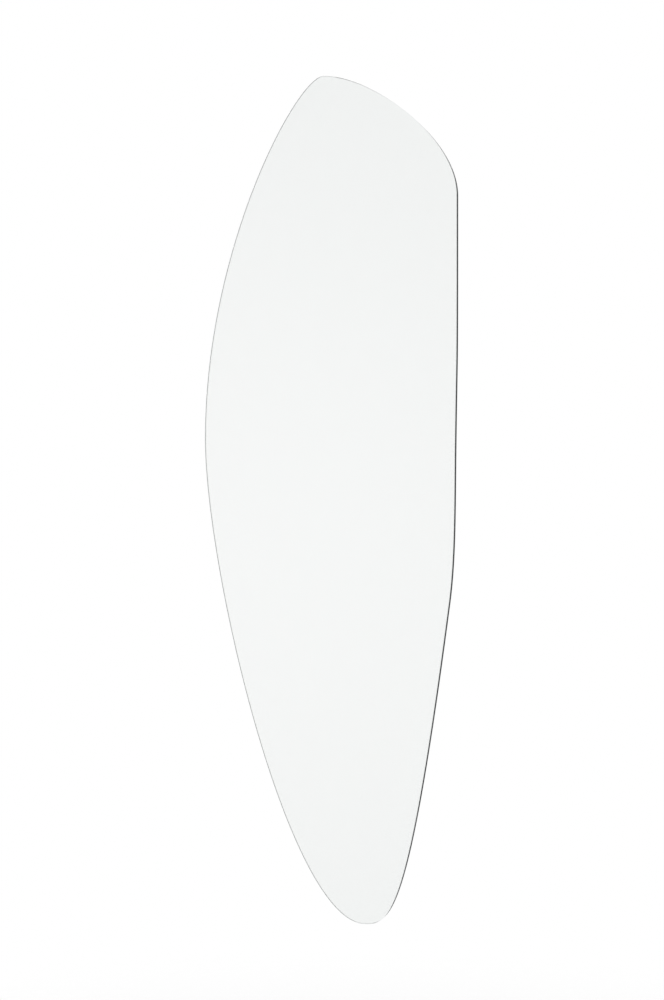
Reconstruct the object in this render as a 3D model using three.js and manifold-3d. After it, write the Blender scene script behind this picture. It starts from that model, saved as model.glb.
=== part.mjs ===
// A frameless wall mirror with a free-form outline. Silvered float glass is taped to a lacquered
// backing board, and the board hangs on a cleat of two aluminium Z-rails that hook into each other.
//
// Millimetres, +Z up. The wall is the plane y = 0 and the mirror faces -Y. The origin is the centre
// of the wall rail's back face, on the plumb line through the middle of the mirror's area.
//
// The outline is set out from the glass's left-most point and from its tip at the bottom, and
// plumb() and level() turn those distances into x and z.

import * as THREE from 'three';
import { mergeVertices } from 'three/addons/utils/BufferGeometryUtils.js';
import Module from 'manifold-3d';

// ---------------------------------------------------------------- sizes

// Outline of the glass, which runs smoothly through six places. Each has a heading, and holds it for
// a share of the straight way to each of its neighbours.
const GLASS_WIDTH = 460;
const GLASS_HEIGHT = 1500;

const PEAK_FROM_LEFT = 219;
const PEAK_SHARE_LEFT = 0.072;
const PEAK_SHARE_RIGHT = 0.255;

const SHOULDER_DROP = 219; // below the peak, where the right side starts straight down
const SHOULDER_SHARE_UP = 0.32;
const SHOULDER_SHARE_DOWN = 0.81;

const WAIST_HEIGHT = 850;
const WAIST_INSET = 3; // from the right side
const WAIST_LEAN = 0.8; // degrees from the vertical
const WAIST_SHARE_UP = 0.44;
const WAIST_SHARE_DOWN = 0.375;

const HIP_HEIGHT = 570;
const HIP_INSET = 13.6; // from the right side
const HIP_LEAN = 7.6; // degrees from the vertical
const HIP_SHARE_UP = 0.285;
const HIP_SHARE_DOWN = 0.957;

const TIP_FROM_LEFT = 294;
const TIP_SHARE_RIGHT = 0.078;
const TIP_SHARE_LEFT = 0.153;

const BELLY_HEIGHT = 858;
const BELLY_SHARE_DOWN = 0.257;
const BELLY_SHARE_UP = 0.506;

const CURVE_STEPS = 32; // straight steps in each curve of the outline

// Layers, from the front to the back.
const GLASS_THICKNESS = 4;
const GLASS_ARRIS = 0.8; // bevel on both edges of the glass
const GLASS_CLEARANCE = 0.05; // between the glass and the skin of silver
const SILVER_THICKNESS = 0.2; // silver with its protective paint
const FILM_THICKNESS = 0.2;
const FILM_SETBACK = 0.6; // inside the silvering's edge
const TAPE_THICKNESS = 1;
const BOARD_THICKNESS = 12;
const BOARD_SETBACK = 0.3; // inside the glass's edge
const BOARD_EASE = 1; // rounding of the board's edges
const STANDOFF = 8; // from the wall to the board's back

// Mounting tape, in vertical strips.
const TAPE_COUNT = 6;
const TAPE_WIDTH = 20;
const TAPE_SIDE = 60; // from the glass's side to the middle of the outer strips
const TAPE_EDGE = 18; // from a strip's ends to the glass's edge

// Z-rails. Both have the same section, and the mirror's one is turned over.
const RAIL_DROP = 400; // from the peak down to the wall rail's middle
const RAIL_LENGTH = 300;
const RAIL_THICKNESS = 2;
const RAIL_FLANGE = 22;
const RAIL_LIP = 12;
const RAIL_BEVEL = 1.2; // on the lip's tip, to lead it into the other rail
const RAIL_ROUNDING = 0.3;
const HOOK_CLEARANCE = 0.3; // between the two lips, and from a lip's tip to its seat
const WALL_HOLE_DIAMETER = 5.5;
const WALL_HOLE_COUNT = 6;
const WALL_HOLE_END = 25; // from the rail's end to the first hole
const RAIL_SCREW_COUNT = 5;
const RAIL_SCREW_END = 26; // from the rail's end to the first screw

// Rubber bumpers, as thick as the stand-off.
const BUMPER_DIAMETER = 22;
const BUMPER_TAPER = 1; // narrower at the wall, by this much on the radius
const BUMPER_SEAT = 3; // rubber under the screw's head
const BUMPER_RECESS_DIAMETER = 10;
const BUMPER_EDGE = 45; // from a bumper's middle to the glass's edge, measured level
const UPPER_BUMPER_DROP = 120; // below the peak
const LOWER_BUMPER_HEIGHT = 240; // above the tip

// Pan-head screws, the same for the rail and the bumpers but for their length.
const SCREW_DIAMETER = 3.5;
const SCREW_HEAD_DIAMETER = 7;
const SCREW_HEAD_HEIGHT = 2.2;
const SCREW_TIP = 2.5; // length of the point
const SCREW_BITE = 9; // length in the board
const SCREW_CLEARANCE = 0.25; // around the screw, and past its point

// Straight sides that stand for a round one.
const SCREW_SIDES = 16;
const BUMPER_SIDES = 24;
const ROUNDING_STEPS = 3;
const BOARD_EASE_STEPS = 2;

// Depths from the wall, all worked out from the layers.
const BOARD_FRONT = STANDOFF + BOARD_THICKNESS;
const TAPE_FRONT = BOARD_FRONT + TAPE_THICKNESS;
const FILM_FRONT = TAPE_FRONT + FILM_THICKNESS;
const SILVER_FRONT = FILM_FRONT + SILVER_THICKNESS;
const GLASS_BACK = SILVER_FRONT + GLASS_CLEARANCE;

// The lips hook behind each other half way between the wall and the board.
const RAIL_OFFSET = (STANDOFF + HOOK_CLEARANCE) / 2;

// ---------------------------------------------------------------- finishes

/** A material of a colour, a roughness and a metalness. */
function finish(color, roughness, metalness) {
  return new THREE.MeshStandardMaterial({ color, roughness, metalness });
}

const CLEAR_GLASS = finish(0xdfe8e4, 0.02, 0);
CLEAR_GLASS.transparent = true;
CLEAR_GLASS.opacity = 0.35;
const SILVER = finish(0xf2f4f3, 0.02, 1);
const GREY_FILM = finish(0x8e9296, 0.6, 0);
const WHITE_TAPE = finish(0xe6e6e2, 0.8, 0);
const BLACK_LACQUER = finish(0x1c1c1d, 0.4, 0);
const ALUMINIUM = finish(0xb9bcbf, 0.35, 1);
const ZINC = finish(0xc4c6c8, 0.3, 1);
const RUBBER = finish(0x2a2a2b, 0.85, 0);

// ---------------------------------------------------------------- outline

// The outline's places, clockwise as seen from the front. A heading of 0 degrees points right and
// one of 90 degrees points up. The outline arrives along one handle and leaves along the other.
const places = [
  { x: PEAK_FROM_LEFT, z: GLASS_HEIGHT, heading: 0, arrive: PEAK_SHARE_LEFT, leave: PEAK_SHARE_RIGHT },
  {
    x: GLASS_WIDTH,
    z: GLASS_HEIGHT - SHOULDER_DROP,
    heading: -90,
    arrive: SHOULDER_SHARE_UP,
    leave: SHOULDER_SHARE_DOWN,
  },
  {
    x: GLASS_WIDTH - WAIST_INSET,
    z: WAIST_HEIGHT,
    heading: -90 - WAIST_LEAN,
    arrive: WAIST_SHARE_UP,
    leave: WAIST_SHARE_DOWN,
  },
  {
    x: GLASS_WIDTH - HIP_INSET,
    z: HIP_HEIGHT,
    heading: -90 - HIP_LEAN,
    arrive: HIP_SHARE_UP,
    leave: HIP_SHARE_DOWN,
  },
  { x: TIP_FROM_LEFT, z: 0, heading: 180, arrive: TIP_SHARE_RIGHT, leave: TIP_SHARE_LEFT },
  { x: 0, z: BELLY_HEIGHT, heading: 90, arrive: BELLY_SHARE_DOWN, leave: BELLY_SHARE_UP },
];

/** The end of a place's handle, at a length along its heading, or behind it if negative. */
function handle(place, length) {
  const angle = THREE.MathUtils.degToRad(place.heading);
  return new THREE.Vector2(place.x + length * Math.cos(angle), place.z + length * Math.sin(angle));
}

/** The outline's curves, one from each place to the next. */
function outlineCurves() {
  return places.map((from, index) => {
    const to = places[(index + 1) % places.length];
    const way = handle(from, 0).distanceTo(handle(to, 0));
    return new THREE.CubicBezierCurve(
      handle(from, 0),
      handle(from, from.leave * way),
      handle(to, -to.arrive * way),
      handle(to, 0),
    );
  });
}

/** The outline's points, moved inwards by an inset. */
function outline(inset = 0) {
  return outlineCurves().flatMap((curve) =>
    Array.from({ length: CURVE_STEPS }, (_, step) => {
      const point = curve.getPoint(step / CURVE_STEPS);
      const along = curve.getTangent(step / CURVE_STEPS);
      return new THREE.Vector2(point.x + along.y * inset, point.y - along.x * inset);
    }),
  );
}

/** Where the outline, moved inwards, crosses a level or plumb line: the least and the greatest place. */
function span(inset, lineAxis, placeAxis, place) {
  const points = outline(inset);
  const crossings = points.flatMap((a, index) => {
    const b = points[(index + 1) % points.length];
    const share = (place - a[placeAxis]) / (b[placeAxis] - a[placeAxis]);
    return share >= 0 && share < 1 ? [THREE.MathUtils.lerp(a[lineAxis], b[lineAxis], share)] : [];
  });
  return [Math.min(...crossings), Math.max(...crossings)];
}

/** The distance of the middle of the outline's area from its left-most point. */
function middleOfArea() {
  const points = outline();
  let area = 0;
  let moment = 0;
  points.forEach((a, index) => {
    const b = points[(index + 1) % points.length];
    const cross = a.x * b.y - b.x * a.y;
    area += cross;
    moment += ((a.x + b.x) * cross) / 3;
  });
  return moment / area;
}

const PLUMB_FROM_LEFT = middleOfArea();
const RAIL_HEIGHT = GLASS_HEIGHT - RAIL_DROP;

const plumb = (fromLeft) => fromLeft - PLUMB_FROM_LEFT;
const level = (aboveTip) => aboveTip - RAIL_HEIGHT;

// ---------------------------------------------------------------- solids

const wasm = await Module();
wasm.setup();

/** A closed geometry as a solid that can be cut. */
function toSolid(geometry) {
  const bare = geometry.clone();
  bare.deleteAttribute('normal');
  bare.deleteAttribute('uv');
  const merged = mergeVertices(bare);
  return new wasm.Manifold(
    new wasm.Mesh({
      numProp: 3,
      vertProperties: merged.attributes.position.array,
      triVerts: new Uint32Array(merged.index.array),
    }),
  );
}

/** A geometry with holes cut out of it. */
function cut(geometry, cutters) {
  const solid = cutters.reduce((rest, cutter) => rest.subtract(toSolid(cutter)), toSolid(geometry));
  const { vertProperties, triVerts } = solid.getMesh();
  const result = new THREE.BufferGeometry();
  result.setAttribute('position', new THREE.BufferAttribute(vertProperties, 3));
  result.setIndex(new THREE.BufferAttribute(triVerts, 1));
  result.computeVertexNormals();
  return result;
}

/** Evenly spaced places on both sides of 0, the first and the last a margin inside a length. */
function row(count, length, margin) {
  return Array.from({ length: count }, (_, index) => (index / (count - 1) - 0.5) * (length - 2 * margin));
}

/** A drill through x and z, from one depth to a greater one. */
function drill(diameter, x, z, fromDepth, toDepth) {
  const radius = diameter / 2;
  const cylinder = new THREE.CylinderGeometry(radius, radius, toDepth - fromDepth, SCREW_SIDES);
  return cylinder.translate(x, -(fromDepth + toDepth) / 2, z);
}

/** A sheet of the outline's form, from a depth outwards, with its edges eased. */
function sheet(inset, backDepth, thickness, ease = 0, easeSteps = 1) {
  const shape = new THREE.Shape(outline(inset).map((p) => new THREE.Vector2(plumb(p.x), level(p.y))));
  const geometry = new THREE.ExtrudeGeometry(shape, {
    depth: thickness - 2 * ease,
    bevelEnabled: ease > 0,
    bevelSize: ease,
    bevelThickness: ease,
    bevelOffset: -ease,
    bevelSegments: easeSteps,
    steps: 1,
  });
  return geometry.translate(0, 0, backDepth + ease).rotateX(Math.PI / 2);
}

/** A closed shape with each of its corners rounded, by no more than a third of its sides. */
function roundedShape(points, radius) {
  const shape = new THREE.Shape();
  const towards = (corner, other) => {
    const side = other.clone().sub(corner);
    return side.setLength(Math.min(radius, side.length() / 3)).add(corner);
  };
  points.forEach((corner, index) => {
    const enter = towards(corner, points[(index + points.length - 1) % points.length]);
    const exit = towards(corner, points[(index + 1) % points.length]);
    if (index === 0) shape.moveTo(enter.x, enter.y);
    else shape.lineTo(enter.x, enter.y);
    shape.quadraticCurveTo(corner.x, corner.y, exit.x, exit.y);
  });
  shape.closePath();
  return shape;
}

/** The height of a rail's lip tip above its flange's middle. */
const LIP_TIP = RAIL_FLANGE / 2 + RAIL_OFFSET + RAIL_LIP;

/**
 * The section of a Z-rail, with the depth from its back as x and the height as y. Its flange lies
 * on the back, a web at 45 degrees leads outwards from it, and the lip stands up from the web. The
 * tip's bevel is parallel to the web, which the other rail's tip is seated on.
 */
function railSection() {
  const crook = RAIL_FLANGE / 2;
  const webShift = RAIL_THICKNESS * (Math.SQRT2 - 1); // how far the web's outer corners lie below
  const inner = RAIL_OFFSET;
  const outer = RAIL_OFFSET + RAIL_THICKNESS;
  return [
    [0, -RAIL_FLANGE / 2],
    [0, crook],
    [inner, crook + RAIL_OFFSET],
    [inner, LIP_TIP - RAIL_BEVEL],
    [inner + RAIL_BEVEL, LIP_TIP],
    [outer, LIP_TIP],
    [outer, crook + RAIL_OFFSET - webShift],
    [RAIL_THICKNESS, crook - webShift],
    [RAIL_THICKNESS, -RAIL_FLANGE / 2],
  ].map(([depth, height]) => new THREE.Vector2(-depth, height));
}

/** A Z-rail with its back on y = 0 and its flange's middle at the origin, drilled for its screws. */
function rail(holeDiameter, holePlaces) {
  const geometry = new THREE.ExtrudeGeometry(roundedShape(railSection(), RAIL_ROUNDING), {
    depth: RAIL_LENGTH,
    bevelEnabled: false,
    curveSegments: ROUNDING_STEPS,
  });
  geometry.translate(0, 0, -RAIL_LENGTH / 2);
  geometry.applyMatrix4(
    new THREE.Matrix4().makeBasis(
      new THREE.Vector3(0, 1, 0),
      new THREE.Vector3(0, 0, 1),
      new THREE.Vector3(1, 0, 0),
    ),
  );
  const drills = holePlaces.map((x) => drill(holeDiameter, x, 0, -RAIL_THICKNESS, 2 * RAIL_THICKNESS));
  return cut(geometry, drills);
}

/** How far the mirror's rail lies above the wall's, middle to middle. Its lip's tip is seated there. */
const RAIL_RISE =
  LIP_TIP + RAIL_FLANGE / 2 + STANDOFF - RAIL_OFFSET - RAIL_BEVEL + HOOK_CLEARANCE;

/** A pan-head screw whose head's underside is at y = 0 and which points towards -y. */
function screw(shank) {
  const core = SCREW_DIAMETER / 2;
  const head = SCREW_HEAD_DIAMETER / 2;
  const profile = [
    [0, -shank],
    [core, SCREW_TIP - shank],
    [core, 0],
    [head, 0],
    [head, SCREW_HEAD_HEIGHT * 0.45],
    [head * 0.86, SCREW_HEAD_HEIGHT * 0.8],
    [head * 0.5, SCREW_HEAD_HEIGHT],
    [0, SCREW_HEAD_HEIGHT],
  ];
  return new THREE.LatheGeometry(profile.map(([r, y]) => new THREE.Vector2(r, y)), SCREW_SIDES);
}

/** A round rubber bumper from the board's back, at y = 0, to the wall, with a recess for its screw. */
function bumper() {
  const bore = SCREW_DIAMETER / 2 + SCREW_CLEARANCE;
  const recess = BUMPER_RECESS_DIAMETER / 2;
  const foot = BUMPER_DIAMETER / 2;
  const face = foot - BUMPER_TAPER;
  const profile = [
    [bore, 0],
    [foot, 0],
    [face + BUMPER_TAPER / 4, STANDOFF - BUMPER_TAPER],
    [face - BUMPER_TAPER / 2, STANDOFF],
    [recess, STANDOFF],
    [recess, BUMPER_SEAT],
    [bore, BUMPER_SEAT],
    [bore, 0],
  ];
  return new THREE.LatheGeometry(profile.map(([r, y]) => new THREE.Vector2(r, y)), BUMPER_SIDES);
}

/** The four places of the bumpers, with the names of their sides. */
function bumperPlaces() {
  const heights = { upper: GLASS_HEIGHT - UPPER_BUMPER_DROP, lower: LOWER_BUMPER_HEIGHT };
  return Object.entries(heights).flatMap(([end, height]) => {
    const [left, right] = span(0, 'x', 'y', height);
    return [
      { name: `${end}_left`, x: plumb(left + BUMPER_EDGE), z: level(height) },
      { name: `${end}_right`, x: plumb(right - BUMPER_EDGE), z: level(height) },
    ];
  });
}

// ---------------------------------------------------------------- assembly

const mirror = new THREE.Group();
const cleat = new THREE.Group();

/** Adds a named piece to a group, at a place. */
function add(group, name, geometry, material, x = 0, y = 0, z = 0) {
  const mesh = new THREE.Mesh(geometry, material);
  mesh.name = name;
  mesh.position.set(x, y, z);
  group.add(mesh);
  return mesh;
}

add(mirror, 'mirror_glass', sheet(0, GLASS_BACK, GLASS_THICKNESS, GLASS_ARRIS), CLEAR_GLASS);
add(mirror, 'silvering', sheet(GLASS_ARRIS, FILM_FRONT, SILVER_THICKNESS), SILVER);
add(mirror, 'safety_film', sheet(GLASS_ARRIS + FILM_SETBACK, TAPE_FRONT, FILM_THICKNESS), GREY_FILM);

row(TAPE_COUNT, GLASS_WIDTH, TAPE_SIDE).forEach((offset, index) => {
  const middle = GLASS_WIDTH / 2 + offset;
  const sides = [middle - TAPE_WIDTH / 2, middle + TAPE_WIDTH / 2];
  const spans = sides.map((side) => span(TAPE_EDGE, 'y', 'x', side));
  const foot = Math.max(...spans.map(([low]) => low));
  const top = Math.min(...spans.map(([, high]) => high));
  const strip = new THREE.BoxGeometry(TAPE_WIDTH, TAPE_THICKNESS, top - foot);
  const place = [plumb(middle), -BOARD_FRONT - TAPE_THICKNESS / 2, level((foot + top) / 2)];
  add(mirror, `mounting_tape_${index + 1}`, strip, WHITE_TAPE, ...place);
});

const railScrews = row(RAIL_SCREW_COUNT, RAIL_LENGTH, RAIL_SCREW_END).map((x) => ({ x, z: RAIL_RISE }));
const bumpers = bumperPlaces();
const screwHole = SCREW_DIAMETER + 2 * SCREW_CLEARANCE;
const pilotEnd = STANDOFF + SCREW_BITE + SCREW_CLEARANCE;
const screwPlaces = [...railScrews, ...bumpers];
const pilots = screwPlaces.map(({ x, z }) => drill(screwHole, x, z, STANDOFF / 2, pilotEnd));
const board = sheet(BOARD_SETBACK, STANDOFF, BOARD_THICKNESS, BOARD_EASE, BOARD_EASE_STEPS);
add(mirror, 'backing_board', cut(board, pilots), BLACK_LACQUER);

const mirrorRail = rail(screwHole, railScrews.map(({ x }) => x));
add(mirror, 'mirror_rail', mirrorRail, ALUMINIUM, 0, -STANDOFF, RAIL_RISE).rotation.x = Math.PI;
railScrews.forEach(({ x, z }, index) => {
  const place = [x, RAIL_THICKNESS - STANDOFF, z];
  add(mirror, `mirror_rail_screw_${index + 1}`, screw(RAIL_THICKNESS + SCREW_BITE), ZINC, ...place);
});

bumpers.forEach(({ name, x, z }) => {
  add(mirror, `bumper_${name}`, bumper(), RUBBER, x, -STANDOFF, z);
  const place = [x, BUMPER_SEAT - STANDOFF, z];
  add(mirror, `bumper_screw_${name}`, screw(BUMPER_SEAT + SCREW_BITE), ZINC, ...place);
});

const wallHoles = row(WALL_HOLE_COUNT, RAIL_LENGTH, WALL_HOLE_END);
add(cleat, 'wall_rail', rail(WALL_HOLE_DIAMETER, wallHoles), ALUMINIUM);

const wallMirror = new THREE.Group();
wallMirror.add(mirror, cleat);

export default wallMirror;
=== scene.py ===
"""Dresses a frameless, free-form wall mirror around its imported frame.

Metres, +Z up. The wall is the plane y = 0, the mirror faces -Y, and the origin is the middle of the
wall rail's back. Every place and most sizes are read from the frame's own nodes. What is written
here as a number is a detail that the frame leaves out, such as a thread, a recess or a rounding.
"""

import logging
import math
from collections.abc import Callable, Iterable, Iterator, Sequence
from contextlib import contextmanager
from dataclasses import dataclass, field
from enum import Enum
from functools import reduce
from typing import Any

import bmesh
import bpy
import numpy as np
from mathutils import Matrix, Vector

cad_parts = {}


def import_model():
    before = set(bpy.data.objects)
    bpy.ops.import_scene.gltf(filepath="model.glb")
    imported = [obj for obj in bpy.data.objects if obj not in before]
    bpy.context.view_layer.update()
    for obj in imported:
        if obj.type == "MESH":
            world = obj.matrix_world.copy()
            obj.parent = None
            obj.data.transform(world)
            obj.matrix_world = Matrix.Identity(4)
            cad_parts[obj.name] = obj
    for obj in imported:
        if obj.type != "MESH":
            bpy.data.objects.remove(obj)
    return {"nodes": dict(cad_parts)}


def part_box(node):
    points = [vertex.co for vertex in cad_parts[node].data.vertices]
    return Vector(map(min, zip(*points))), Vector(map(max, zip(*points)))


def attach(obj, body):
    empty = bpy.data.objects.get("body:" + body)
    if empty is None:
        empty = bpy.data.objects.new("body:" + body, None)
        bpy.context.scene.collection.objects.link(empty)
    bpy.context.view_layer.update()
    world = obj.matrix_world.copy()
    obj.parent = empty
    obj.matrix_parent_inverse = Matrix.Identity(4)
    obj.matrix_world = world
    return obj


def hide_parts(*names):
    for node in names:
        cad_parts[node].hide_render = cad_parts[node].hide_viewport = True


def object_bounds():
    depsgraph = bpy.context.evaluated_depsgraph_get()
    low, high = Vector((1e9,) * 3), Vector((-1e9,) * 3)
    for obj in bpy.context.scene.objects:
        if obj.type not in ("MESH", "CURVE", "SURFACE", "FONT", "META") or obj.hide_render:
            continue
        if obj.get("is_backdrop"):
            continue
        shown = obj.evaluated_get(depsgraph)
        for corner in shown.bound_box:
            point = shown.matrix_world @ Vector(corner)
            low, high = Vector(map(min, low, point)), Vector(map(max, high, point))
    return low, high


LOG = logging.getLogger("wall_mirror")

Pair = tuple[float, float]
Triple = tuple[float, float, float]
Colour = Triple

WALL_BODY = "wall_bracket"
MIRROR_BODY = "mirror"


# ------------------------------------------------------------------ shader graphs

# The numbers of the Mix node's sockets for colours, which share their names with others.
MIX_FACTOR, MIX_FIRST, MIX_SECOND, MIX_RESULT = 0, 6, 7, 2

UNSTRETCHED = (1.0, 1.0, 1.0)


@dataclass(frozen=True)
class Channel:
    """A node's output that takes part in Python expressions."""

    graph: "Graph"
    socket: bpy.types.NodeSocket

    @property
    def is_vector(self) -> bool:
        """Whether the socket carries a vector."""
        return self.socket.type == "VECTOR"

    def _combine(self, operation: str, first: Any, second: Any) -> "Channel":
        """Adds the node that stands for one operator.

        Args:
            operation: The operation's name, the same for numbers and for vectors.
            first: The left-hand side.
            second: The right-hand side.

        Returns:
            The node's result.
        """
        vector = any(isinstance(side, Channel) and side.is_vector for side in (first, second))
        kind = "ShaderNodeVectorMath" if vector else "ShaderNodeMath"
        sides = [
            (side,) * 3 if vector and isinstance(side, (int, float)) else side
            for side in (first, second)
        ]
        return self.graph.add(kind, {"operation": operation}, {0: sides[0], 1: sides[1]})

    def __add__(self, other: Any) -> "Channel":
        """This plus the other side."""
        return self._combine("ADD", self, other)

    def __radd__(self, other: Any) -> "Channel":
        """The other side plus this."""
        return self._combine("ADD", other, self)

    def __sub__(self, other: Any) -> "Channel":
        """This less the other side."""
        return self._combine("SUBTRACT", self, other)

    def __rsub__(self, other: Any) -> "Channel":
        """The other side less this."""
        return self._combine("SUBTRACT", other, self)

    def __mul__(self, other: Any) -> "Channel":
        """This times the other side."""
        return self._combine("MULTIPLY", self, other)

    def __rmul__(self, other: Any) -> "Channel":
        """The other side times this."""
        return self._combine("MULTIPLY", other, self)


class Graph:
    """The node tree of a material or of the world, emptied and built up by calls."""

    def __init__(self, tree: bpy.types.NodeTree) -> None:
        """Empties a node tree.

        Args:
            tree: The tree to fill.
        """
        self.tree = tree
        tree.nodes.clear()

    def add(
        self,
        kind: str,
        settings: dict[str, Any] | None = None,
        inputs: dict[str | int, Any] | None = None,
        output: str | int = 0,
    ) -> Channel:
        """Adds a node, with its settings made first and its sockets then filled.

        Args:
            kind: The node's type.
            settings: The node's own properties.
            inputs: Values or channels by the name or number of the socket.
            output: The name or number of the output that is returned.

        Returns:
            The chosen output, or the first input of a node that has no outputs.
        """
        node = self.tree.nodes.new(kind)
        for name, value in (settings or {}).items():
            setattr(node, name, value)
        for name, value in (inputs or {}).items():
            if isinstance(value, Channel):
                self.tree.links.new(value.socket, node.inputs[name])
            else:
                node.inputs[name].default_value = value
        return Channel(self, node.outputs[output] if node.outputs else node.inputs[0])

    def place(self, stretch: Triple = UNSTRETCHED) -> Channel:
        """The point on the object in metres, stretched along its axes.

        Args:
            stretch: The factor along each axis.

        Returns:
            A vector channel.
        """
        point = self.add("ShaderNodeTexCoord", output="Object")
        if stretch == UNSTRETCHED:
            return point
        return self.add("ShaderNodeVectorMath", {"operation": "MULTIPLY"}, {0: point, 1: stretch})

    def noise(self, size: float, detail: float = 2.0, stretch: Triple = UNSTRETCHED) -> Channel:
        """Cloudy noise from 0 to 1.

        Args:
            size: The size of its blotches in metres.
            detail: How many finer layers it has.
            stretch: The factor along each axis, well below 1 where the blotches run long.

        Returns:
            A number channel.
        """
        inputs = {"Vector": self.place(stretch), "Scale": 1.0 / size, "Detail": detail}
        return self.add("ShaderNodeTexNoise", None, inputs, "Fac")

    def ramp(self, value: Channel, levels: Pair) -> Channel:
        """A value spread over 0 to 1 between two levels, with soft ends.

        Args:
            value: The number channel.
            levels: The level that becomes 0, and the level that becomes 1.

        Returns:
            A number channel.
        """
        settings = {"interpolation_type": "SMOOTHSTEP"}
        inputs = {"Value": value, "From Min": levels[0], "From Max": levels[1]}
        return self.add("ShaderNodeMapRange", settings, inputs)

    def blend(self, factor: Channel | float, first: Any, second: Any) -> Channel:
        """A colour between two colours.

        Args:
            factor: 0 for the first and 1 for the second.
            first: A colour or a colour channel.
            second: A colour or a colour channel.

        Returns:
            A colour channel.
        """
        sides = [side if isinstance(side, Channel) else (*side, 1.0) for side in (first, second)]
        inputs = {MIX_FACTOR: factor, MIX_FIRST: sides[0], MIX_SECOND: sides[1]}
        return self.add("ShaderNodeMix", {"data_type": "RGBA"}, inputs, MIX_RESULT)

    def bump(self, height: Channel, depth: float) -> Channel:
        """A normal that makes a height look embossed.

        Args:
            height: The height, where 1 is the full depth.
            depth: The depth in metres.

        Returns:
            A vector channel.
        """
        return self.add("ShaderNodeBump", None, {"Height": height, "Distance": depth}, "Normal")

    def highest(self, first: Channel, second: Channel) -> Channel:
        """The higher of two numbers."""
        return self.add("ShaderNodeMath", {"operation": "MAXIMUM"}, {0: first, 1: second})

    def rays(self, *kinds: str) -> Channel:
        """Whether the light that is traced is of one of some kinds.

        Args:
            kinds: The names of the Light Path node's outputs.

        Returns:
            A number channel that is 1 for those rays.
        """
        found = [self.add("ShaderNodeLightPath", output=kind) for kind in kinds]
        return reduce(self.highest, found)


# ------------------------------------------------------------------ finishes


@dataclass(frozen=True)
class Finish:
    """A surface that is made once and shared by the pieces that wear it."""

    name: str
    colour: Colour
    roughness: float

    def shade(self, graph: Graph) -> dict[str, Any]:
        """The Principled shader's values.

        Args:
            graph: The material's graph.

        Returns:
            Numbers, colours or channels by the name of the socket.
        """
        raise NotImplementedError

    def toned(self, share: float, grey: float = 0.0) -> Colour:
        """A share of the colour with some grey added."""
        return tuple(min(1.0, share * part + grey) for part in self.colour)

    def uneven(self, spread: float, mask: Channel) -> Channel:
        """The roughness, which a mask varies by a share of it, half of that to each side."""
        return self.roughness * (1.0 - spread / 2.0 + spread * mask)

    def material(self) -> bpy.types.Material:
        """The material, made on the first call and found again later.

        Returns:
            The material.
        """
        known = bpy.data.materials.get(self.name)
        if known:
            return known
        material = bpy.data.materials.new(self.name)
        material.use_nodes = True
        graph = Graph(material.node_tree)
        surface = graph.add("ShaderNodeBsdfPrincipled", None, self.shade(graph))
        graph.add("ShaderNodeOutputMaterial", None, {"Surface": surface})
        material.diffuse_color = (*self.colour, 1.0)
        return material


@dataclass(frozen=True)
class FloatGlass(Finish):
    """Clear float glass with a trace of green."""

    index: float = 1.52
    wipe_size: float = 0.09
    wipe_stretch: Triple = (1.0, 1.0, 0.35)
    wipe_levels: Pair = (0.55, 0.95)

    def shade(self, graph: Graph) -> dict[str, Any]:
        """Clear glass whose faces carry only a breath of wiping marks.

        Args:
            graph: The material's graph.

        Returns:
            The Principled shader's values.
        """
        wiped = graph.noise(self.wipe_size, 3.0, self.wipe_stretch)
        return {
            "Base Color": (*self.colour, 1.0),
            "Roughness": graph.ramp(wiped, self.wipe_levels) * self.roughness,
            "IOR": self.index,
            "Transmission Weight": 1.0,
        }


@dataclass(frozen=True)
class PolishedEdge(FloatGlass):
    """The glass's edge, ground with fine wheels and polished, which leaves faint lines along it."""

    clearness: float = 0.78
    line_pitch: float = 0.00022
    line_stretch: Triple = (0.01, 1.0, 0.01)
    line_depth: float = 0.000004
    cloud_size: float = 0.004
    cloud_tone: float = 0.9
    cloud_spread: float = 0.6

    def shade(self, graph: Graph) -> dict[str, Any]:
        """Sea-green, slightly cloudy glass with grinding lines that run along the edge.

        Args:
            graph: The material's graph.

        Returns:
            The Principled shader's values.
        """
        lines = graph.noise(self.line_pitch, 2.0, self.line_stretch)
        cloud = graph.noise(self.cloud_size, 3.0)
        return {
            "Base Color": graph.blend(cloud, self.colour, self.toned(self.cloud_tone)),
            "Roughness": self.uneven(self.cloud_spread, cloud),
            "IOR": self.index,
            "Transmission Weight": self.clearness,
            "Normal": graph.bump(lines, self.line_depth),
        }


@dataclass(frozen=True)
class Silver(Finish):
    """The silver coat seen through the glass."""

    cloud_size: float = 0.6
    cloud_tone: float = 0.996

    def shade(self, graph: Graph) -> dict[str, Any]:
        """A bright metal with a very slow change of tone, as a poured coat has.

        Args:
            graph: The material's graph.

        Returns:
            The Principled shader's values.
        """
        cloud = graph.noise(self.cloud_size, 1.0)
        return {
            "Base Color": graph.blend(cloud, self.colour, self.toned(self.cloud_tone)),
            "Metallic": 1.0,
            "Roughness": self.roughness,
        }


@dataclass(frozen=True)
class PaintedCoat(Finish):
    """The grey paint that protects the silver's back, laid on by a curtain coater."""

    streak_size: float = 0.012
    streak_stretch: Triple = (1.0, 1.0, 0.05)
    streak_tone: float = 0.86
    streak_spread: float = 0.2
    streak_depth: float = 0.00001

    def shade(self, graph: Graph) -> dict[str, Any]:
        """Flat paint with faint streaks from top to bottom.

        Args:
            graph: The material's graph.

        Returns:
            The Principled shader's values.
        """
        streaks = graph.noise(self.streak_size, 3.0, self.streak_stretch)
        return {
            "Base Color": graph.blend(streaks, self.colour, self.toned(self.streak_tone)),
            "Roughness": self.uneven(self.streak_spread, streaks),
            "Normal": graph.bump(streaks, self.streak_depth),
        }


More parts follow.
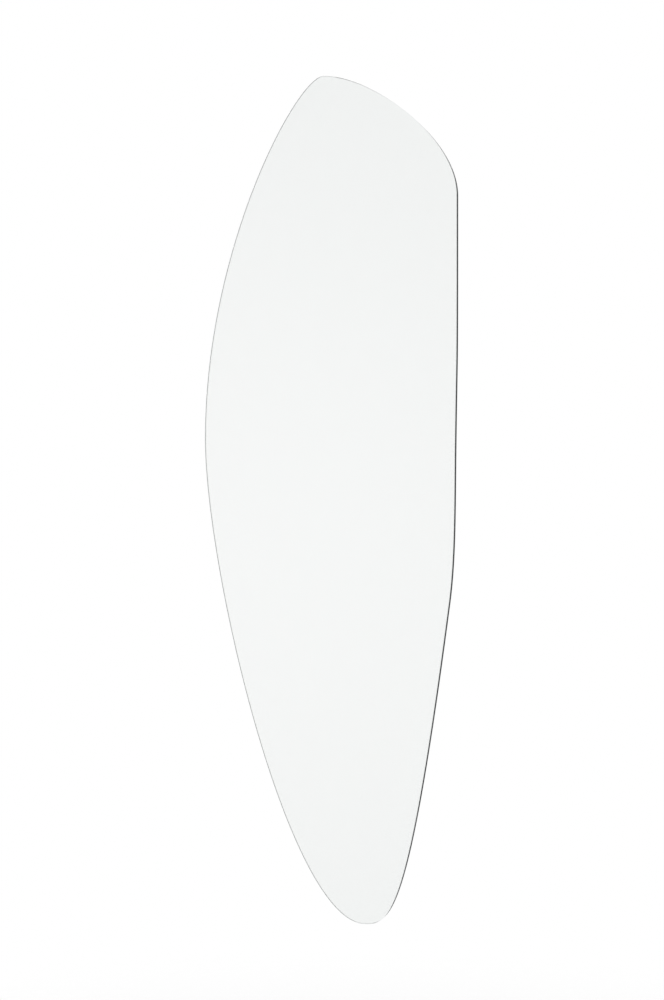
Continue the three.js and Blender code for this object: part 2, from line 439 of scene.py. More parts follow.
@dataclass(frozen=True)
class WovenFilm(Finish):
    """Safety film, a matt skin stiffened by a square mesh of threads."""

    thread_pitch: float = 0.003
    thread_levels: Pair = (0.8, 0.98)
    thread_tone: float = 1.15
    thread_share: float = 0.7
    thread_depth: float = 0.00006

    def shade(self, graph: Graph) -> dict[str, Any]:
        """Matt film with its threads standing out a little.

        Args:
            graph: The material's graph.

        Returns:
            The Principled shader's values.
        """
        mesh = graph.highest(self._threads(graph, "X"), self._threads(graph, "Z"))
        pale = self.toned(self.thread_tone)
        return {
            "Base Color": graph.blend(mesh * self.thread_share, self.colour, pale),
            "Roughness": self.roughness,
            "Normal": graph.bump(mesh, self.thread_depth),
        }

    def _threads(self, graph: Graph, axis: str) -> Channel:
        """One set of parallel threads.

        Args:
            graph: The material's graph.
            axis: The axis that the threads are spaced along.

        Returns:
            A number channel that is 1 on the threads.
        """
        turns = 2.0 * math.pi / 20.0  # the wave texture has 20 radians to a unit of its scale
        settings = {"wave_type": "BANDS", "bands_direction": axis}
        inputs = {"Vector": graph.place(), "Scale": turns / self.thread_pitch}
        bands = graph.add("ShaderNodeTexWave", settings, inputs, "Fac")
        return graph.ramp(bands, self.thread_levels)


@dataclass(frozen=True)
class ClosedFoam(Finish):
    """Closed-cell foam of the mounting tape."""

    cell_size: float = 0.0004
    # where the cells' hollows are painted darker, and how dark: painted shade
    hollow_shade_levels: Pair = (0.55, 0.1)
    hollow_shade_tone: float = 0.75
    cell_depth: float = 0.00008

    def shade(self, graph: Graph) -> dict[str, Any]:
        """Matt foam with small open cells at its cut sides, whose hollows are painted darker as
        shade.

        Args:
            graph: The material's graph.

        Returns:
            The Principled shader's values.
        """
        inputs = {"Vector": graph.place(), "Scale": 1.0 / self.cell_size}
        cells = graph.add("ShaderNodeTexVoronoi", {"feature": "F1"}, inputs, "Distance")
        # painted shade: the colour darkens in the middle of each cell, in its hollow
        shaded_hollows = graph.ramp(cells, self.hollow_shade_levels)
        return {
            "Base Color": graph.blend(shaded_hollows, self.colour, self.toned(self.hollow_shade_tone)),
            "Roughness": self.roughness,
            "Normal": graph.bump(cells, self.cell_depth),
        }


@dataclass(frozen=True)
class SatinLacquer(Finish):
    """Sprayed lacquer on fibreboard, with a fine orange-peel skin."""

    gloss: float = 0.12
    peel_size: float = 0.0016
    peel_depth: float = 0.000012
    grain_size: float = 0.0004
    grain_share: float = 0.3
    grain_haze: float = 0.05
    # wide blotches that are rougher and whose colour is painted paler: a painted sheen
    sheen_blotch_size: float = 0.11
    sheen_blotch_levels: Pair = (0.42, 0.72)
    painted_sheen_share: float = 0.1
    sheen_blotch_haze: float = 0.12
    dust_size: float = 0.0009
    dust_levels: Pair = (0.70, 0.80)
    dust_share: float = 0.35
    # the pale colour of both the real dust and the painted sheen
    dust_and_sheen_tone: float = 2.0
    dust_and_sheen_grey: float = 0.008

    def shade(self, graph: Graph) -> dict[str, Any]:
        """Satin lacquer that is paler where it has gathered dust, and rougher and painted paler in
        wide blotches as a painted sheen.

        Args:
            graph: The material's graph.

        Returns:
            The Principled shader's values.
        """
        peel = graph.noise(self.peel_size)
        grain = graph.noise(self.grain_size, 3.0)
        sheen_blotches = graph.ramp(graph.noise(self.sheen_blotch_size, 4.0), self.sheen_blotch_levels)
        dust = graph.ramp(graph.noise(self.dust_size, 1.0), self.dust_levels)
        # the paler tone mixes real dust specks with the painted sheen of the wide blotches
        tone_mix = self.dust_share * dust + self.painted_sheen_share * sheen_blotches
        pale_dust_and_sheen = self.toned(self.dust_and_sheen_tone, self.dust_and_sheen_grey)
        return {
            "Base Color": graph.blend(tone_mix, self.colour, pale_dust_and_sheen),
            "Roughness": self.roughness + self.sheen_blotch_haze * sheen_blotches + self.grain_haze * grain,
            "Specular IOR Level": self.gloss,
            "Normal": graph.bump(peel + self.grain_share * grain, self.peel_depth),
        }


@dataclass(frozen=True)
class Anodised(Finish):
    """Extruded aluminium with its die lines, etched and anodised."""

    line_size: float = 0.0005
    line_stretch: Triple = (0.004, 1.0, 1.0)
    line_share: float = 0.5
    line_haze: float = 0.14
    line_depth: float = 0.000012
    cloud_size: float = 0.05
    cloud_share: float = 0.4
    etch_size: float = 0.00018
    etch_share: float = 0.35
    etch_haze: float = 0.05
    dull_tone: float = 0.86

    def shade(self, graph: Graph) -> dict[str, Any]:
        """Satin metal with fine lines along the rail and a slow change of tone.

        Args:
            graph: The material's graph.

        Returns:
            The Principled shader's values.
        """
        lines = graph.noise(self.line_size, 3.0, self.line_stretch)
        cloud = graph.noise(self.cloud_size, 3.0)
        etch = graph.noise(self.etch_size)
        tone_mix = self.line_share * lines + self.cloud_share * cloud
        return {
            "Base Color": graph.blend(tone_mix, self.colour, self.toned(self.dull_tone)),
            "Metallic": 1.0,
            "Roughness": self.roughness + self.line_haze * lines + self.etch_haze * etch,
            "Normal": graph.bump(lines + self.etch_share * etch, self.line_depth),
        }


@dataclass(frozen=True)
class ZincPlate(Finish):
    """Bright zinc plating, with the faint blue and straw tints of its passivation."""

    tint_size: float = 0.0035
    tint_levels: Pair = (0.35, 0.65)
    straw_shares: Triple = (1.02, 0.99, 0.92)
    skin_size: float = 0.0004
    skin_haze: float = 0.16
    skin_depth: float = 0.000004

    def shade(self, graph: Graph) -> dict[str, Any]:
        """Bright metal with soft tints and a fine, uneven skin.

        Args:
            graph: The material's graph.

        Returns:
            The Principled shader's values.
        """
        tint = graph.ramp(graph.noise(self.tint_size), self.tint_levels)
        skin = graph.noise(self.skin_size, 3.0)
        straw = tuple(part * share for part, share in zip(self.colour, self.straw_shares))
        return {
            "Base Color": graph.blend(tint, self.colour, straw),
            "Metallic": 1.0,
            "Roughness": self.roughness + self.skin_haze * skin,
            "Normal": graph.bump(skin, self.skin_depth),
        }


@dataclass(frozen=True)
class MouldedRubber(Finish):
    """Black rubber with the fine spark-eroded texture of its mould."""

    gloss: float = 0.4
    grain_size: float = 0.00025
    grain_shine: float = 0.12
    grain_depth: float = 0.00003
    bloom_size: float = 0.006
    bloom_levels: Pair = (0.45, 0.8)
    bloom_share: float = 0.6
    bloom_tone: float = 1.9
    bloom_grey: float = 0.01

    def shade(self, graph: Graph) -> dict[str, Any]:
        """Matt rubber with fine grain and a little bloom.

        Args:
            graph: The material's graph.

        Returns:
            The Principled shader's values.
        """
        grain = graph.noise(self.grain_size)
        bloom = graph.ramp(graph.noise(self.bloom_size, 3.0), self.bloom_levels)
        bloomed = self.toned(self.bloom_tone, self.bloom_grey)
        return {
            "Base Color": graph.blend(self.bloom_share * bloom, self.colour, bloomed),
            "Roughness": self.roughness - self.grain_shine * grain,
            "Specular IOR Level": self.gloss,
            "Normal": graph.bump(grain, self.grain_depth),
        }


CLEAR_GLASS = FloatGlass("clear_glass", (0.9945, 0.998, 0.996), 0.012)
POLISHED_EDGE = PolishedEdge("polished_edge", (0.38, 0.48, 0.44), 0.09)
MIRROR_SILVER = Silver("mirror_silver", (0.955, 0.960, 0.957), 0.0)
BACK_PAINT = PaintedCoat("back_paint", (0.20, 0.22, 0.22), 0.55)
SAFETY_FILM = WovenFilm("safety_film_skin", (0.27, 0.28, 0.30), 0.62)
TAPE_FOAM = ClosedFoam("tape_foam", (0.76, 0.76, 0.73), 0.85)
BLACK_LACQUER = SatinLacquer("black_lacquer", (0.011, 0.011, 0.0114), 0.48)
RAIL_METAL = Anodised("rail_metal", (0.72, 0.73, 0.745), 0.26)
SCREW_METAL = ZincPlate("screw_metal", (0.74, 0.755, 0.78), 0.2)
BUMPER_RUBBER = MouldedRubber("bumper_rubber", (0.022, 0.022, 0.023), 0.82)


# ------------------------------------------------------------------ mesh tools

WELD_REACH = 0.000001
SAME_LEVEL = 0.00001
ARC_SHARE = 0.48  # how much of a side the arc at one of its ends may take up


@contextmanager
def edited(mesh: bpy.types.Mesh) -> Iterator[bmesh.types.BMesh]:
    """Opens a mesh for edits, and writes it back after them.

    Args:
        mesh: The mesh.

    Yields:
        The mesh in the form that takes edits.
    """
    opened = bmesh.new()
    opened.from_mesh(mesh)
    yield opened
    opened.to_mesh(mesh)
    opened.free()


def weld(mesh: bpy.types.Mesh) -> None:
    """Joins points that fall together, drops faces without area, and turns the rest outwards.

    Args:
        mesh: The mesh of a closed piece.
    """
    with edited(mesh) as welded:
        bmesh.ops.remove_doubles(welded, verts=welded.verts, dist=WELD_REACH)
        bmesh.ops.dissolve_degenerate(welded, edges=welded.edges, dist=WELD_REACH)
        bmesh.ops.recalc_face_normals(welded, faces=welded.faces)


def smooth(piece: bpy.types.Object, crease: float, flats: bool = True) -> None:
    """Shades a piece smooth but for its creases.

    Args:
        piece: The piece.
        crease: The least angle in degrees that stays sharp.
        flats: Whether it has large flat faces, which then stay truly flat.
    """
    mesh = piece.data
    stale = mesh.attributes.get("custom_normal")
    if stale:
        mesh.attributes.remove(stale)
    with edited(mesh) as shaded:
        for face in shaded.faces:
            face.smooth = True
        for edge in shaded.edges:
            edge.smooth = edge.calc_face_angle(math.pi) < math.radians(crease)
    piece.modifiers.clear()
    if flats:
        even = piece.modifiers.new("even_shading", "WEIGHTED_NORMAL")
        even.mode = "FACE_AREA"
        even.keep_sharp = True


def linked(name: str, data: bpy.types.ID) -> bpy.types.Object:
    """A new object in the scene.

    Args:
        name: The object's name.
        data: Its mesh, camera or lamp.

    Returns:
        The object.
    """
    made = bpy.data.objects.new(name, data)
    bpy.context.scene.collection.objects.link(made)
    return made


def new_piece(
    name: str,
    vertices: Iterable[Sequence[float]],
    faces: Iterable[Sequence[int]],
    finishes: Sequence[Finish],
    crease: float = 35.0,
) -> bpy.types.Object:
    """A piece from its vertices and faces, smooth but for its creases.

    Args:
        name: The piece's name.
        vertices: Its points in metres.
        faces: Its faces, each a row of point numbers, in either winding.
        finishes: Its finishes, in the order of its material slots.
        crease: The least angle in degrees between two faces that stays sharp.

    Returns:
        The new object.
    """
    mesh = bpy.data.meshes.new(name)
    mesh.from_pydata([tuple(point) for point in vertices], [], [tuple(face) for face in faces])
    weld(mesh)
    for finish in finishes:
        mesh.materials.append(finish.material())
    piece = linked(name, mesh)
    smooth(piece, crease)
    return piece


def loft(
    name: str,
    rings: Sequence[Sequence[Sequence[float]]],
    finishes: Sequence[Finish],
    crease: float = 35.0,
    closed: bool = False,
) -> bpy.types.Object:
    """A piece whose skin runs from one ring of points to the next.

    Args:
        name: The piece's name.
        rings: The rings, each with the same number of points.
        finishes: Its finishes, in the order of its material slots.
        crease: The least angle in degrees between two faces that stays sharp.
        closed: Whether the last ring joins the first. Otherwise both ends are capped.

    Returns:
        The new object.
    """
    count, sides = len(rings), len(rings[0])
    faces: list[Sequence[int]] = []
    for ring in range(count if closed else count - 1):
        near, far = ring * sides, (ring + 1) % count * sides
        for side in range(sides):
            beside = (side + 1) % sides
            faces.append([near + side, near + beside, far + beside, far + side])
    if not closed:
        last = (count - 1) * sides
        faces += [range(sides), range(last, last + sides)]
    return new_piece(name, [point for ring in rings for point in ring], faces, finishes, crease)


def carve(
    piece: bpy.types.Object,
    cutters: Sequence[bpy.types.Object],
    crease: float,
    flats: bool = True,
) -> None:
    """Cuts some shapes out of a piece, and deletes the shapes.

    Args:
        piece: The piece.
        cutters: Closed shapes, clear of one another.
        crease: The least angle in degrees that stays sharp.
        flats: Whether it has large flat faces, which then stay truly flat.
    """
    piece.modifiers.clear()
    for cutter in cutters:
        modifier = piece.modifiers.new("cut", "BOOLEAN")
        modifier.operation = "DIFFERENCE"
        modifier.solver = "EXACT"
        modifier.object = cutter
    bpy.context.view_layer.update()
    evaluated = piece.evaluated_get(bpy.context.evaluated_depsgraph_get())
    result = bpy.data.meshes.new_from_object(evaluated)
    weld(result)
    piece.modifiers.clear()
    old = piece.data
    piece.data = result
    result.name = old.name
    bpy.data.meshes.remove(old)
    for cutter in cutters:
        bpy.data.objects.remove(cutter)
    smooth(piece, crease, flats)


def rounded(corners: Sequence[Pair], radii: Sequence[float] | float, steps: int = 4) -> list[Pair]:
    """A closed outline with its corners rounded by arcs.

    Args:
        corners: The corners in order.
        radii: Each corner's radius, or one for all.
        steps: The straight steps in each arc.

    Returns:
        The outline's points.
    """
    count = len(corners)
    radius_of = [radii] * count if isinstance(radii, (int, float)) else list(radii)
    outline: list[Pair] = []
    for index, corner in enumerate(corners):
        here = Vector(corner)
        before = Vector(corners[index - 1]) - here
        after = Vector(corners[(index + 1) % count]) - here
        bend = before.angle(after)
        radius = radius_of[index]
        room = ARC_SHARE * min(before.length, after.length)
        reach = min(radius / math.tan(bend / 2.0), room)
        if radius <= 0.0 or math.isclose(bend, math.pi, abs_tol=1e-4):
            outline.append(corner)
            continue
        radius = reach * math.tan(bend / 2.0)
        middle = (before.normalized() + after.normalized()).normalized()
        centre = here + middle * (radius / math.sin(bend / 2.0))
        start = here + before.normalized() * reach - centre
        turn = start.angle_signed(here + after.normalized() * reach - centre)
        for step in range(steps + 1):
            spoke = Vector(start)
            spoke.rotate(Matrix.Rotation(-turn * step / steps, 2))
            outline.append(tuple(centre + spoke))
    return outline


def lathe(
    name: str,
    profile: Sequence[Pair],
    centre: Vector,
    sides: int,
    finish: Finish,
    closed: bool = False,
    radius_at: Callable[[float, float, float], float] | None = None,
) -> bpy.types.Object:
    """A turned piece whose axis runs along y.

    Args:
        name: The piece's name.
        profile: Pairs of radius and y, measured from the centre.
        centre: The centre.
        sides: The number of sides.
        finish: The piece's finish.
        closed: Whether the profile closes on itself. Otherwise its ends are capped.
        radius_at: Gives the radius at a profile's radius and y and at an angle, for threads.

    Returns:
        The new object.
    """
    rings = []
    for radius, y in profile:
        ring = []
        for side in range(sides):
            angle = 2.0 * math.pi * side / sides
            reach = radius_at(radius, y, angle) if radius_at else radius
            ring.append(centre + Vector((reach * math.cos(angle), y, reach * math.sin(angle))))
        rings.append(ring)
    return loft(name, rings, [finish], closed=closed)


# ------------------------------------------------------------------ the frame's solids


def named(nodes: dict[str, bpy.types.Object], start: str) -> list[str]:
    """The names of the nodes that begin with a start, in order."""
    return sorted(name for name in nodes if name.startswith(start))


def levels_of(solid: bpy.types.Object) -> list[float]:
    """The y of every level that a solid has points on, from the front to the back."""
    return sorted({round(vertex.co.y, 6) for vertex in solid.data.vertices})


def points_on(solid: bpy.types.Object, level: float) -> list[Vector]:
    """A solid's points on one of its levels."""
    points = [vertex.co for vertex in solid.data.vertices]
    return [point for point in points if abs(point.y - level) < SAME_LEVEL]


def setback_of(node: str) -> float:
    """How far the side of a layer of the mirror lies inside the glass's."""
    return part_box(node)[0].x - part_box("mirror_glass")[0].x


# ------------------------------------------------------------------ the outline


@dataclass(frozen=True)
class Outline:
    """The glass's closed outline as seen from the front, with the way inwards at each point."""

    points: np.ndarray
    inwards: np.ndarray

    @classmethod
    def of_sheet(
        cls, sheet: bpy.types.Object, depth: float, curve_steps: int, refine: int
    ) -> "Outline":
        """Finds the curves that a sheet's rim was stepped along, and steps along them more finely.

        The rim is a ring of cubic curves, the first of which starts at the peak.

        Args:
            sheet: The sheet's object.
            depth: The y of the rim.
            curve_steps: The number of steps in each of its curves.
            refine: The number of new steps in each of the old ones.

        Returns:
            The outline.
        """
        rim = {(round(point.x, 7), round(point.z, 7)) for point in points_on(sheet, depth)}
        corners = np.array(sorted(rim))
        spokes = corners - corners.mean(axis=0)
        corners = corners[np.argsort(np.arctan2(spokes[:, 1], spokes[:, 0]))]
        corners = np.roll(corners, -int(np.argmax(corners[:, 1])), axis=0)
        coarse = np.linspace(0.0, 1.0, curve_steps + 1)
        fine = np.linspace(0.0, 1.0, curve_steps * refine, endpoint=False)
        points, headings = [], []
        for start in range(0, len(corners), curve_steps):
            span = corners[np.arange(start, start + curve_steps + 1) % len(corners)]
            cubics = [np.polynomial.Polynomial.fit(coarse, span[:, axis], 3) for axis in (0, 1)]
            points.append(np.stack([cubic(fine) for cubic in cubics], axis=1))
            headings.append(np.stack([cubic.deriv()(fine) for cubic in cubics], axis=1))
        heading = np.concatenate(headings)
        heading /= np.linalg.norm(heading, axis=1)[:, None]
        return cls(np.concatenate(points), np.stack((-heading[:, 1], heading[:, 0]), axis=1))

    def sheet(
        self,
        name: str,
        rim: Sequence[Pair],
        finishes: Sequence[Finish],
        face_slots: tuple[int, int] = (0, 0),
        rim_slot: int = 0,
    ) -> bpy.types.Object:
        """A sheet of the outline's form.

        Args:
            name: The piece's name.
            rim: The rim's profile from the front to the back, as pairs of inset and y.
            finishes: The sheet's finishes.
            face_slots: The numbers of the front's finish and of the back's.
            rim_slot: The number of the rim's finish.

        Returns:
            The new object.
        """
        rings = [
            [(x, y, z) for x, z in (self.points + self.inwards * inset).tolist()]
            for inset, y in rim
        ]
        piece = loft(name, rings, finishes)
        front, back = rim[0][1], rim[-1][1]
        for polygon in piece.data.polygons:
            if len(polygon.vertices) <= 4:
                polygon.material_index = rim_slot
            else:
                is_front = abs(polygon.center.y - front) < abs(polygon.center.y - back)
                polygon.material_index = face_slots[0 if is_front else 1]
        return piece


def soft_rim(corners: Sequence[Pair], radius: float, steps: int) -> list[Pair]:
    """A sheet's rim with its corners rounded.

    Args:
        corners: Pairs of inset and y, from the front to the back.
        radius: The corners' radius.
        steps: The straight steps in each.

    Returns:
        The rim's profile.
    """
    deep = 1.0  # far inside the sheet, so that its faces lead straight up to the corners
    ends = [(deep, corners[0][1]), (deep, corners[-1][1])]
    radii = [0.0, *[radius] * len(corners), 0.0]
    return rounded([ends[0], *corners, ends[1]], radii, steps)[1:-1]


# ------------------------------------------------------------------ sub-assemblies


def fit(piece: bpy.types.Object, node: str, body: str) -> bpy.types.Object:
    """Puts a piece in a frame node's place, and reports it.

    Args:
        piece: The piece, already in its place.
        node: The node that it stands for.
        body: The body that it moves with.

    Returns:
        The piece.
    """
    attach(piece, body)
    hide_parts(node)
    LOG.info("%s stands for %s, %d faces", piece.name, node, len(piece.data.polygons))
    return piece


@dataclass
class MirrorPane:
    """The glass with its silver coat and safety film."""

    nodes: dict[str, bpy.types.Object]
    curve_steps: int = 32
    refine: int = 4
    back_arris: float = 0.0003
    arris_softness: float = 0.00012
    softness_steps: int = 3
    rim_lean: float = 0.3
    outline: Outline = field(init=False)
    arris: float = field(init=False)

    def __post_init__(self) -> None:
        """Reads the outline and the arris from the glass."""
        glass = self.nodes["mirror_glass"]
        front, rim = levels_of(glass)[:2]
        self.arris = rim - front
        self.outline = Outline.of_sheet(glass, rim, self.curve_steps, self.refine)

    def build(self) -> None:
        """Builds the three layers."""
        self._glass()
        self._silver()
        self._film()

    def _glass(self) -> None:
        """The glass, with clear faces and a polished rim."""
        low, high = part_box("mirror_glass")
        corners = [
            (self.arris, low.y),
            (0.0, low.y + self.arris),
            (0.0, high.y - self.back_arris),
            (self.back_arris, high.y),
        ]
        rim = soft_rim(corners, self.arris_softness, self.softness_steps)
        piece = self.outline.sheet("glass_pane", rim, [CLEAR_GLASS, POLISHED_EDGE])
        for face in piece.data.polygons:
            looks_sideways = abs(face.normal.y) < self.rim_lean
            face.material_index = 1 if looks_sideways else 0
        fit(piece, "mirror_glass", MIRROR_BODY)

    def _silver(self) -> None:
        """The silver coat, bright in front and painted behind."""
        low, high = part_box("silvering")
        setback = self.back_arris + self.arris_softness
        rim = [(setback, low.y), (setback, high.y)]
        piece = self.outline.sheet("silver_coat", rim, [MIRROR_SILVER, BACK_PAINT], (0, 1), 1)
        fit(piece, "silvering", MIRROR_BODY)

    def _film(self) -> None:
        """The safety film, trimmed a little inside the edge of the glass."""
        low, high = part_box("safety_film")
        setback = setback_of("safety_film")
        rim = [(setback, low.y), (setback, high.y)]
        piece = self.outline.sheet("safety_film_sheet", rim, [SAFETY_FILM])
        fit(piece, "safety_film", MIRROR_BODY)


@dataclass
class TapeStrips:
    """The vertical strips of foam tape between the film and the board."""

    nodes: dict[str, bpy.types.Object]
    corner: float = 0.0006
    corner_steps: int = 3
    squeeze: float = 0.0002
    steps: int = 5

    def build(self) -> None:
        """Builds every strip."""
        for node in named(self.nodes, "mounting_tape_"):
            fit(self._strip(node), node, MIRROR_BODY)

    def _strip(self, node: str) -> bpy.types.Object:
        """One strip, whose pressed sides draw in half way through its thickness.

        Args:
            node: The strip's node.

        Returns:
            The new object.
        """
        low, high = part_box(node)
        rings = []
        for step in range(self.steps + 1):
            share = step / self.steps
            inset = self.squeeze * math.sin(math.pi * share)
            corners = [
                (low.x + inset, low.z + inset),
                (high.x - inset, low.z + inset),
                (high.x - inset, high.z - inset),
                (low.x + inset, high.z - inset),
            ]
            y = low.y + (high.y - low.y) * share
            rings.append([(x, y, z) for x, z in rounded(corners, self.corner, self.corner_steps)])
        return loft(f"foam_{node}", rings, [TAPE_FOAM])


@dataclass
class BackingBoard:
    """The lacquered board that the glass is taped to."""

    outline: Outline
    edge_radius: float = 0.001
    edge_steps: int = 6

    def build(self) -> None:
        """Builds the board."""
        low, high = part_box("backing_board")
        setback = setback_of("backing_board")
        rim = soft_rim([(setback, low.y), (setback, high.y)], self.edge_radius, self.edge_steps)
        piece = self.outline.sheet("lacquered_board", rim, [BLACK_LACQUER])
        fit(piece, "backing_board", MIRROR_BODY)


class Turn(Enum):
    """Which way up a rail is fixed."""

    LIP_UP = 1
    LIP_DOWN = -1


@dataclass
class Cleat:
    """The two hooked rails, one on the wall and one on the board."""

    wall_hole: float = 0.0055
    wall_hole_count: int = 6
    wall_hole_end: float = 0.025
    screw_hole: float = 0.004
    thickness: float = 0.002
    flange: float = 0.022
    bevel: float = 0.0012
    rounding: float = 0.0003
    groove: float = 0.0004
    groove_rounding: float = 0.0001
    burr: float = 0.0003
    hole_sides: int = 40
    crease: float = 20.0

    def build(self, screws: Sequence[Vector]) -> None:
        """Builds both rails.

        Args:
            screws: The middles of the mirror rail's screws.
        """
        low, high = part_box("wall_rail")
        reach = (high.x - low.x) / 2.0 - self.wall_hole_end
        wall_places = np.linspace(-reach, reach, self.wall_hole_count).tolist()
        wall = self._rail("rail_on_wall", "wall_rail", Turn.LIP_UP, wall_places, self.wall_hole)
        fit(wall, "wall_rail", WALL_BODY)
        places = [screw.x for screw in screws]
        board = self._rail("rail_on_board", "mirror_rail", Turn.LIP_DOWN, places, self.screw_hole)
        fit(board, "mirror_rail", MIRROR_BODY)

    def _section(self, node: str) -> list[Pair]:
        """The rail's section, with the depth from its back as the first of each pair.

        Args:
            node: The rail's node.

        Returns:
            The section's points, about the middle of its flange.
        """
        low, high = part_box(node)
        outer = high.y - low.y
        inner = outer - self.thickness
        crook = self.flange / 2.0
        tip = high.z - low.z - crook
        shift = self.thickness * (math.sqrt(2.0) - 1.0)
        folds = [
            (0.0, -crook),
            (0.0, crook),
            (inner, crook + inner),
            (inner, tip - self.bevel),
            (inner + self.bevel, tip),
            (outer, tip),
            (outer, crook + inner - shift),
            (self.thickness, crook - shift),
        ]
        groove = [
            (self.thickness, self.groove),
            (self.thickness - self.groove, 0.0),
            (self.thickness, -self.groove),
        ]
        foot = [(self.thickness, -crook)]
        radii = [self.rounding] * len(folds) + [self.groove_rounding] * len(groove)
        return rounded([*folds, *groove, *foot], [*radii, self.rounding])

    def _rail(
        self, name: str, node: str, turn: Turn, places: Sequence[float], hole: float
    ) -> bpy.types.Object:
        """One rail, drilled for its screws.

        Args:
            name: The piece's name.
            node: The rail's node.
            turn: Which way up it is fixed.
            places: The x of each hole.
            hole: The holes' diameter.

        Returns:
            The new object.
        """
        low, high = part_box(node)
        way = turn.value
        back = high.y if turn is Turn.LIP_UP else low.y
        middle = (low.z if turn is Turn.LIP_UP else high.z) + way * self.flange / 2.0
        section = self._section(node)
        ends = [
            [(x, back - way * depth, middle + way * height) for depth, height in section]
            for x in (low.x, high.x)
        ]
        rail = loft(name, ends, [RAIL_METAL], self.crease)
        drills = [self._drill(Vector((x, back, middle)), way, hole / 2.0) for x in places]
        carve(rail, drills, self.crease)
        return rail

    def _drill(self, at: Vector, way: int, radius: float) -> bpy.types.Object:
        """A drill that leaves a hole with both of its edges deburred.

        Args:
            at: The hole's middle on the rail's back.
            way: 1 if the rail's front looks towards -y.
            radius: The hole's radius.

        Returns:
            The drill's object.
        """
        spare = self.thickness
        stations = [
            (-spare, radius + self.burr + spare),
            (self.burr, radius),
            (self.thickness - self.burr, radius),
            (self.thickness + spare, radius + self.burr + spare),
        ]
        profile = [(r, -way * depth) for depth, r in stations]
        return lathe("drill", profile, at, self.hole_sides, RAIL_METAL)


@dataclass(frozen=True)
class ScrewForm:
    """A screw's place and its sizes, as its node has them."""

    top: Vector
    head: float
    thickness: float
    length: float
    crest: float
    tip: float

    @classmethod
    def of_node(cls, node: str, solid: bpy.types.Object) -> "ScrewForm":
        """Measures a screw whose point looks towards -y.

        Args:
            node: The screw's node.
            solid: The node's object.

        Returns:
            The middle of the top of its head, the radius and height of the head, the whole
            length, the radius of the thread and the length of the point.
        """
        low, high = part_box(node)
        top = Vector(((low.x + high.x) / 2.0, high.y, (low.z + high.z) / 2.0))
        point_end, point_start, head_start = levels_of(solid)[:3]
        spokes = [point - top for point in points_on(solid, point_start)]
        return cls(
            top=top,
            head=(high.x - low.x) / 2.0,
            thickness=high.y - head_start,
            length=high.y - low.y,
            crest=max(math.hypot(spoke.x, spoke.z) for spoke in spokes),
            tip=point_start - point_end,
        )


